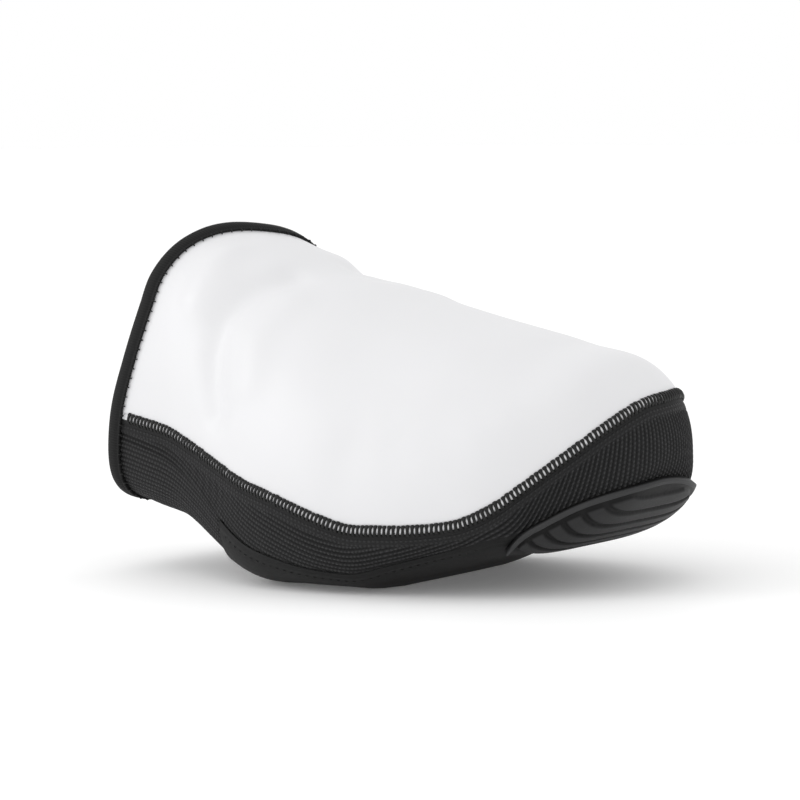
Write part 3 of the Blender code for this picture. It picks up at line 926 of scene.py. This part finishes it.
def cut_cleat_opening(piece):
    """Cuts the rounded slot for the cleat right through the sole panel."""
    size = section(CLEAT_OPENING_MIDDLE)
    middle = Vector(
        (-CLEAT_OPENING_MIDDLE, (float(size["lateral"]) + float(size["medial"])) / 2, 0.0)
    )
    bpy.ops.object.select_all(action="DESELECT")
    bpy.ops.mesh.primitive_cube_add(size=1, location=middle + LAST_SHIFT)
    cutter = bpy.context.object
    cutter.scale = (CLEAT_OPENING_LENGTH, CLEAT_OPENING_WIDTH, 0.030)
    bpy.ops.object.transform_apply(location=True, rotation=True, scale=True)
    bpy.ops.object.mode_set(mode="EDIT")
    bpy.ops.mesh.select_all(action="DESELECT")
    bpy.ops.object.mode_set(mode="OBJECT")
    for edge in cutter.data.edges:
        first, second = (cutter.data.vertices[index].co for index in edge.vertices)
        edge.select = abs(first.z - second.z) > 0.01
    bpy.ops.object.mode_set(mode="EDIT")
    bpy.ops.mesh.select_mode(type="EDGE")
    bpy.ops.mesh.bevel(offset=CLEAT_OPENING_CORNER, segments=10, affect="EDGES")
    bpy.ops.object.mode_set(mode="OBJECT")
    apply_modifier(
        piece,
        "cleat opening",
        "BOOLEAN",
        operation="DIFFERENCE",
        solver="FAST",
        object=cutter,
    )
    bpy.data.objects.remove(cutter)


def patch_edges(places):
    along, rim, rear = zip(*PATCH_ROWS)
    return smooth_curve(along, rim, places), smooth_curve(along, rear, places)


def make_toe_patch(materials):
    """The rubber patch under the toe: a rim, and lugs straight across between narrow grooves."""
    tip = PATCH_ROWS[-1][0]
    places = np.linspace(-tip, tip, 261)
    rim, rear = patch_edges(places)
    angles = rows_between(rear, rim, 121)
    flat = skin(places, angles)
    up = steps_along(flat, 0)
    down = up[-1] - up
    behind = -flat[..., 0]
    inside = down - PATCH_RIM_WIDTH
    rim_share = ease((PATCH_RIM_WIDTH - down) / 0.0004 + 0.5) * ease(down / 0.0003)
    number = (behind - PATCH_FIRST_LUG) / PATCH_LUG_PITCH
    within = (number - np.floor(number)) * PATCH_LUG_PITCH
    width = PATCH_LUG_PITCH - PATCH_GROOVE
    edge = np.minimum(within, width - within)
    lug = ease(edge / 0.00045 + 0.25)
    runs = (number > 0) & (number < PATCH_LUGS)
    lug = lug * runs * ease((inside - PATCH_LUG_GAP) / 0.0007) * ease((up - 0.0006) / 0.0006)
    raised = np.maximum(lug * PATCH_LUG_PROUD, rim_share * PATCH_RIM_PROUD)
    base = CLEARANCE + PATCH_BASE * ease(0.3 + np.minimum(up, down) / 0.0004)
    points = skin(places, angles, base + raised)
    # The relief map carries painted light and shade: the rim painted palest, the lugs less pale, the
    # grooves and base dark
    shade = np.maximum(lug * 0.62, rim_share * 1.1)
    along = np.broadcast_to(steps_along(points, 1)[-1], up.shape)
    piece = sheet("toe_guard", points, {"relief": (shade, along)})
    give_wall(piece, PATCH_BASE * 0.6)
    return finished(piece, materials, "toe_patch")


def make_binding(materials):
    """The tape folded over the collar edge, with a sewn groove along its inner border."""
    fine = 150
    rise = np.linspace(-90.0, 90.0, fine)
    places = np.concatenate((np.full(fine - 1, -2.0), np.full(fine, 2.0)))
    angles = np.concatenate((rise[:-1], rise[::-1]))
    top = CLEARANCE
    back = UPPER_WALL + CLEARANCE
    tape = BINDING_TAPE
    profile = (
        (BINDING_WIDTH - 0.0003, 0.0000),
        (BINDING_WIDTH, top + 0.1 * tape),
        (BINDING_WIDTH - 0.0001, top + 0.6 * tape),
        (BINDING_WIDTH - 0.0005, top + 0.75 * tape),
        (BINDING_WIDTH - 0.0010, top + 0.35 * tape),
        (BINDING_WIDTH - 0.0014, top + 0.70 * tape),
        (BINDING_WIDTH - 0.0022, top + 1.00 * tape),
        (BINDING_WIDTH - 0.0032, top + 1.05 * tape),
        (0.0014, top + 0.95 * tape),
        (0.0007, top + 0.60 * tape),
        (0.0003, top + 0.10 * tape),
        (0.0001, -0.5 * back),
        (0.0003, -back),
        (0.0008, -back - 0.6 * tape),
        (0.0016, -back - 0.9 * tape),
        (BINDING_WIDTH - 0.0030, -back - 0.9 * tape),
        (BINDING_WIDTH - 0.0010, -back - 0.7 * tape),
        (BINDING_WIDTH - 0.0004, -back - 0.4 * tape),
        (BINDING_WIDTH - 0.0004, -back + 0.2 * tape),
    )
    lines = np.stack([skin(places, angles, proud, trim) for trim, proud in profile])
    lines = np.concatenate((lines, lines[:1]))
    around = np.broadcast_to(steps_along(lines, 1)[8], lines.shape[:2])
    over = steps_along(lines, 0)
    piece = sheet("collar_tape", lines, {"tape": (over, around)})
    edit_all(
        piece,
        lambda: bpy.ops.mesh.remove_doubles(threshold=2e-6),
        lambda: bpy.ops.mesh.normals_make_consistent(inside=False),
    )
    return finished(piece, materials, "collar_binding")


def one_stitch():
    """One overlock stitch, lying over the seam's roll: thicker at its upper loop."""
    bpy.ops.object.select_all(action="DESELECT")
    bpy.ops.mesh.primitive_uv_sphere_add(segments=8, ring_count=8, radius=0.5)
    stitch = bpy.context.object
    bpy.ops.object.mode_set(mode="EDIT")
    bpy.ops.transform.resize(value=(STITCH_WIDTH, STITCH_THICK, STITCH_LENGTH))
    bpy.ops.object.mode_set(mode="OBJECT")
    points = np.array([corner.co for corner in stitch.data.vertices])
    share = points[:, 2] / STITCH_LENGTH + 0.5
    round_width = np.sqrt(np.maximum(1 - (2 * share - 1.0) ** 2, 1e-6))
    points[:, 0] *= smooth_curve(*zip(*STITCH_OUTLINE), share) / round_width
    points[:, 1] += SEAM_PROUD * (1 - np.abs(2 * share - 1.0) ** 3)
    faces = [tuple(face.vertices) for face in stitch.data.polygons]
    bpy.data.objects.remove(stitch)
    return points, faces


def stitched_line(name, line, slant, size, template, seed, proud=0.0):
    """Copies of one stitch, each laid square to a line on the skin, in one mesh."""
    points, faces = template
    normals = normal_at(line)
    line = line + normals * proud
    ahead = np.gradient(line, axis=0)
    ahead /= np.linalg.norm(ahead, axis=-1, keepdims=True)
    upward = np.cross(normals, ahead)
    upward *= np.sign(upward[:, 2:3].mean())
    chance = np.random.default_rng(seed)
    corners = []
    for spot, run, out, rise in zip(line, ahead, normals, upward):
        lean = math.radians(slant + chance.normal(0.0, 2.0))
        side = run * math.cos(lean) - rise * math.sin(lean)
        tall = rise * math.cos(lean) + run * math.sin(lean)
        local = points * np.array(size) * chance.normal(1.0, 0.04)
        corners.append(
            spot + local[:, :1] * side + local[:, 1:2] * out + local[:, 2:] * tall
        )
    corners = np.concatenate(corners) + np.array(LAST_SHIFT)
    count = len(points)
    all_faces = [tuple(i + count * copy for i in face) for copy in range(len(line)) for face in faces]
    mesh = bpy.data.meshes.new(name)
    mesh.from_pydata(corners.tolist(), [], all_faces)
    piece = bpy.data.objects.new(name, mesh)
    bpy.context.scene.collection.objects.link(piece)
    edit_all(piece, lambda: bpy.ops.mesh.normals_make_consistent(inside=False))
    return piece


def places_at_pitch(rows, offset, pitch, first=-1.945, last=1.945):
    """Places along an edge at an even pitch, and the angles of the line beside the edge."""
    fine = np.linspace(first, last, 1600)
    angles = edge_angle(rows, fine, offset)
    run = steps_along(skin(fine, angles)[None], 1)[0]
    count = int(run[-1] / pitch)
    at = np.interp(np.linspace(0.0, run[-1], count), run, fine)
    return at, edge_angle(rows, at, offset)


def make_seam(white, thread):
    """The rolled white edge under the overlock, and the black stitches over it."""
    places = np.linspace(-2.0, 2.0, 421)
    low = edge_angle(SEAM_ROWS, places, -SEAM_WIDTH * WHITE_SHARE)
    high = edge_angle(SEAM_ROWS, places, -SEAM_WIDTH * 0.08)
    angles = rows_between(low, high, 13)
    share = np.linspace(0.0, 1.0, 13)[:, None]
    cover = ease((1.955 - np.abs(places)) / 0.02)
    roll = np.maximum(1 - np.abs(2 * share - 1.0) ** 2.2, 0.0) ** 0.5
    points = skin(places, angles, SEAM_PROUD * roll * cover - 0.0001)
    along = np.broadcast_to(steps_along(points, 1)[0], points.shape[:2])
    up = np.broadcast_to(share * SEAM_WIDTH, points.shape[:2])
    piece = sheet("seam_roll", points, {"cloth": (along, up)})
    give_wall(piece, 0.0016)
    finished(piece, [white], "edge_seam")
    at, middle = places_at_pitch(SEAM_ROWS, -SEAM_WIDTH / 2, STITCH_PITCH)
    stitch = one_stitch()
    stitches = stitched_line(
        "overlock_stitches",
        skin(at, middle),
        STITCH_SLANT,
        (1.0, 1.0, 1.0),
        stitch,
        7,
        proud=0.0001,
    )
    finished(stitches, [thread], None)
    make_tape_stitches(stitch, thread)
    make_hem_stitches(stitch, thread)


def evenly_along(line, pitch):
    """Points at an even pitch along a line of points."""
    run = steps_along(line, 0)
    at = np.linspace(pitch / 2, run[-1] - pitch / 2, int(run[-1] / pitch))
    return np.stack([np.interp(at, run, line[:, axis]) for axis in range(3)], axis=-1)


def make_tape_stitches(stitch, thread):
    """The bar stitches that hold the collar tape, across its inner border."""
    rise = np.linspace(-84.0, 90.0, 400)
    places = np.concatenate((np.full(400, -2.0), np.full(400, 2.0)))
    angles = np.concatenate((rise, rise[::-1]))
    line = skin(places, angles, trim=BINDING_WIDTH + 0.0001)
    piece = stitched_line(
        "tape_stitches",
        evenly_along(line, TAPE_STITCH_PITCH),
        0.0,
        (0.34, 0.8, 0.40),
        stitch,
        11,
        proud=0.0003,
    )
    finished(piece, [thread], None)


def make_hem_stitches(stitch, thread):
    """The topstitch along the upper edge of the sole panel, lying in its groove."""
    places = np.linspace(-1.0, 1.0, 801) * place_of(SOLE_PANEL_REAR - 0.002)
    line = skin(places, edge_angle(SOLE_EDGE_ROWS, places, -HEM_DEPTH))
    rise = SOLE_PROUD * np.clip((np.abs(places) - SOLE_FLUSH_TURN) / SOLE_RISE_TURN, 0.0, 1.0)
    line = line + normal_at(line) * rise[:, None]
    line = line[(np.abs(places) > HEM_STITCHES_FROM)]
    for side in (-1, 1):
        half = line[: len(line) // 2] if side < 0 else line[len(line) // 2 :]
        piece = stitched_line(
            "hem_stitches_lateral" if side < 0 else "hem_stitches_medial",
            evenly_along(half, HEM_STITCH_PITCH),
            90.0,
            (0.30, 0.5, 0.42),
            stitch,
            13,
            proud=-0.0004,
        )
        finished(piece, [thread], None)


def make_floor(material):
    bpy.ops.object.select_all(action="DESELECT")
    bpy.ops.mesh.primitive_plane_add(size=6.0, location=(0.0, 0.0, -0.0002))
    floor = bpy.context.object
    floor.name = "floor"
    floor.data.materials.append(material)


def add_light(name, place, size, power, aim=(0.0, 0.0, 0.05)):
    light = bpy.data.lights.new(name, "AREA")
    light.shape = "RECTANGLE"
    light.size, light.size_y = size
    light.energy = power
    lamp = bpy.data.objects.new(name, light)
    lamp.location = place
    lamp.rotation_euler = (Vector(aim) - Vector(place)).to_track_quat("-Z", "Y").to_euler()
    bpy.context.scene.collection.objects.link(lamp)


def make_studio(floor_material):
    make_floor(floor_material)
    add_light("top_light", (-0.2, -0.3, 1.3), (1.2, 1.2), 0.8)
    add_light("left_light", (-1.0, -0.8, 0.6), (0.6, 0.8), 3.8)
    world = bpy.data.worlds.new("studio")
    world.use_nodes = True
    world.node_tree.nodes["Background"].inputs["Color"].default_value = (1.0, 1.0, 1.0, 1.0)
    world.node_tree.nodes["Background"].inputs["Strength"].default_value = 1.0
    bpy.context.scene.world = world
    bpy.context.scene.view_settings.view_transform = "Standard"


def make_camera():
    """The photograph's camera, from its fitted angle, roll and distance."""
    turn = math.radians(CAMERA_AZIMUTH)
    lift = math.radians(CAMERA_ELEVATION)
    roll = math.radians(CAMERA_ROLL)
    back = Vector(
        (math.cos(lift) * math.sin(turn), -math.cos(lift) * math.cos(turn), math.sin(lift))
    )
    level = Vector((math.cos(turn), math.sin(turn), 0.0))
    upright = back.cross(level)
    right = level * math.cos(roll) - upright * math.sin(roll)
    up = level * math.sin(roll) + upright * math.cos(roll)
    data = bpy.data.cameras.new("camera")
    data.sensor_width = SENSOR_WIDTH * 1000
    data.lens = SENSOR_WIDTH * 1000 * PIXELS_PER_METRE * CAMERA_DISTANCE / FRAME_PIXELS
    data.shift_x = (FRAME_PIXELS / 2 - AIM_PIXEL[0]) / FRAME_PIXELS
    data.shift_y = (AIM_PIXEL[1] - FRAME_PIXELS / 2) / FRAME_PIXELS
    data.clip_start = 0.01
    camera = bpy.data.objects.new("camera", data)
    bpy.context.scene.collection.objects.link(camera)
    turned = Matrix((right, up, back)).transposed().to_4x4()
    turned.translation = AIM + back * CAMERA_DISTANCE
    camera.matrix_world = turned
    bpy.context.scene.camera = camera


def main():
    softshell = softshell_finish()
    knit = knit_finish()
    thread = thread_finish()
    make_upper_shell([softshell, lining_finish()])
    make_seam(softshell, thread)
    make_band([knit])
    make_sole([smooth_fabric_finish()])
    make_toe_patch([rubber_finish()])
    make_binding([tape_finish()])
    make_studio(floor_finish())
    make_camera()


main()
